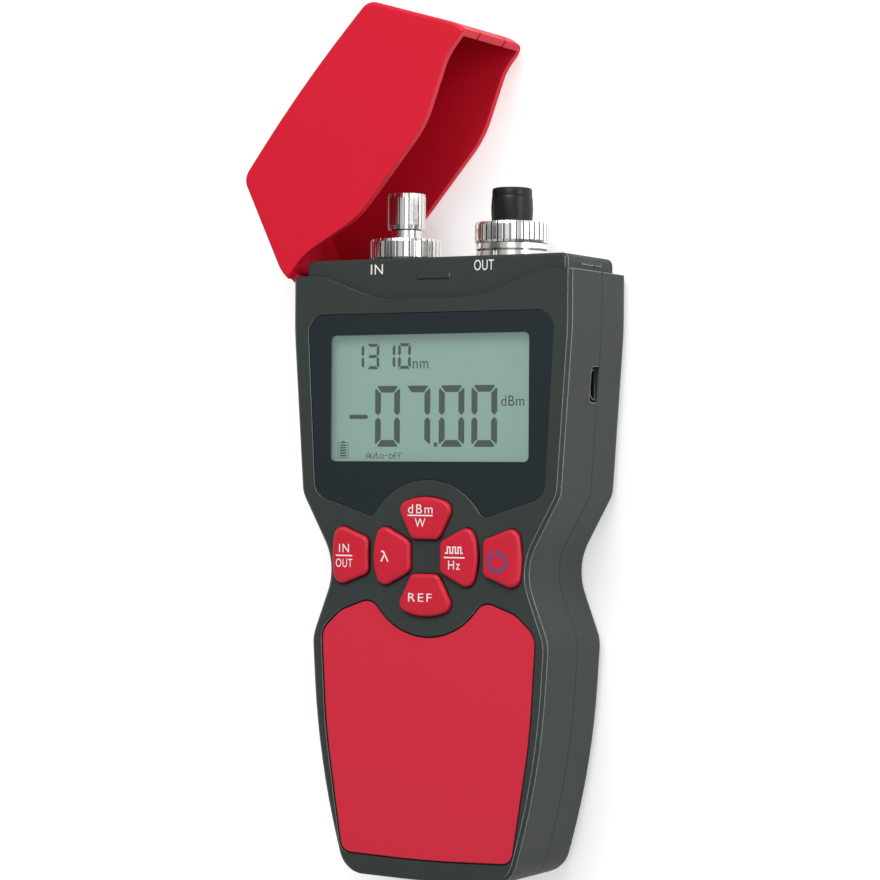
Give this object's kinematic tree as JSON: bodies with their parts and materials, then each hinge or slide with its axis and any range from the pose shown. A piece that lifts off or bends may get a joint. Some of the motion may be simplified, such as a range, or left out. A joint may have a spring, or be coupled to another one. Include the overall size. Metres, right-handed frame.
{
  "type": "optical multimeter",
  "caption": "Hand-held fibre-optic multimeter with a waisted two-shell case, a display, rubber keys, knurled optical ports and a hinged flip cap shown open.",
  "frame": {"origin": "centre of the flat back, on the plane the case rests on, half way along the case body", "axes": "+X to the right seen from the front, +Y along the case towards the ports and the flip cap, +Z out of the display side"},
  "size_m": [0.0938, 0.2184, 0.034],
  "materials": {
    "case_plastic": "fine moulded texture",
    "cap_plastic": "fine moulded texture",
    "lens_sheet": "clear acrylic, its border printed black behind",
    "label_film": "fine matt film",
    "key_rubber": "matt",
    "board_green": "solder mask",
    "switch_black": "moulded",
    "screw_steel": "zinc plated",
    "display_face": "reflective display",
    "backlight_white": "diffuser",
    "contact_rubber": "striped elastomer",
    "cell_wrap": "pouch foil",
    "pad_foam": "foam",
    "socket_metal": "tinned",
    "port_nickel": "bright nickel",
    "cap_nickel": "bright nickel",
    "dust_rubber": "satin",
    "can_gold": "gold plated",
    "pin_steel": "drawn"
  },
  "bodies": {
    "case": {"front_shell": "case_plastic", "rear_shell": "case_plastic", "display_lens": "lens_sheet", "front_label": "label_film", "main_board": "board_green", "key_switches": "switch_black", "case_screws": "screw_steel", "board_screws": "screw_steel", "display_glass": "display_face", "backlight": "backlight_white", "display_connector": "contact_rubber", "battery_cell": "cell_wrap", "battery_pad": "pad_foam", "charge_board": "board_green", "charge_socket": "socket_metal", "meter_port_body": "port_nickel", "detector": "can_gold", "source_port_body": "port_nickel", "source_lock_ring": "port_nickel", "laser_module": "can_gold", "hinge_pin": "pin_steel"},
    "cap": {"flip_cap": "cap_plastic"},
    "unit_key": {"key_unit": "key_rubber"},
    "wavelength_key": {"key_wavelength": "key_rubber"},
    "reference_key": {"key_reference": "key_rubber"},
    "modulation_key": {"key_modulation": "key_rubber"},
    "mode_key": {"key_mode": "key_rubber"},
    "power_key": {"key_power": "key_rubber"},
    "meter_ring": {"meter_adaptor": "port_nickel"},
    "meter_cap": {"meter_dust_cap": "cap_nickel"},
    "source_ring": {"source_adaptor": "port_nickel"},
    "source_cap": {"source_dust_cap": "dust_rubber"}
  },
  "joints": [
    {"name": "cap_hinge", "type": "hinge", "parent": "case", "child": "cap", "pos_m": [-0.0398, 0.0726, 0.01625], "axis": [0, 0, 1], "range_deg": [-49.5, 80]},
    {"name": "unit_press", "type": "slide", "parent": "case", "child": "unit_key", "axis": [0, 0, 1], "range_m": [-0.0008, 0], "stiffness_N_per_m": 600},
    {"name": "wavelength_press", "type": "slide", "parent": "case", "child": "wavelength_key", "axis": [0, 0, 1], "range_m": [-0.0008, 0], "stiffness_N_per_m": 600},
    {"name": "reference_press", "type": "slide", "parent": "case", "child": "reference_key", "axis": [0, 0, 1], "range_m": [-0.0008, 0], "stiffness_N_per_m": 600},
    {"name": "modulation_press", "type": "slide", "parent": "case", "child": "modulation_key", "axis": [0, 0, 1], "range_m": [-0.0008, 0], "stiffness_N_per_m": 600},
    {"name": "mode_press", "type": "slide", "parent": "case", "child": "mode_key", "axis": [0, 0, 1], "range_m": [-0.0008, 0], "stiffness_N_per_m": 600},
    {"name": "power_press", "type": "slide", "parent": "case", "child": "power_key", "axis": [0, 0, 1], "range_m": [-0.0008, 0], "stiffness_N_per_m": 600},
    {"name": "meter_turn", "type": "hinge", "parent": "case", "child": "meter_ring", "pos_m": [-0.0152, 0.082, 0.0173], "axis": [0, 1, 0], "range_deg": [0, 350]},
    {"name": "meter_cap_off", "type": "slide", "parent": "meter_ring", "child": "meter_cap", "axis": [0, 1, 0], "range_m": [0, 0.0095]},
    {"name": "source_turn", "type": "hinge", "parent": "case", "child": "source_ring", "pos_m": [0.0152, 0.085, 0.0173], "axis": [0, 1, 0], "range_deg": [0, 350]},
    {"name": "source_cap_off", "type": "slide", "parent": "source_ring", "child": "source_cap", "axis": [0, 1, 0], "range_m": [0, 0.009]}
  ]
}
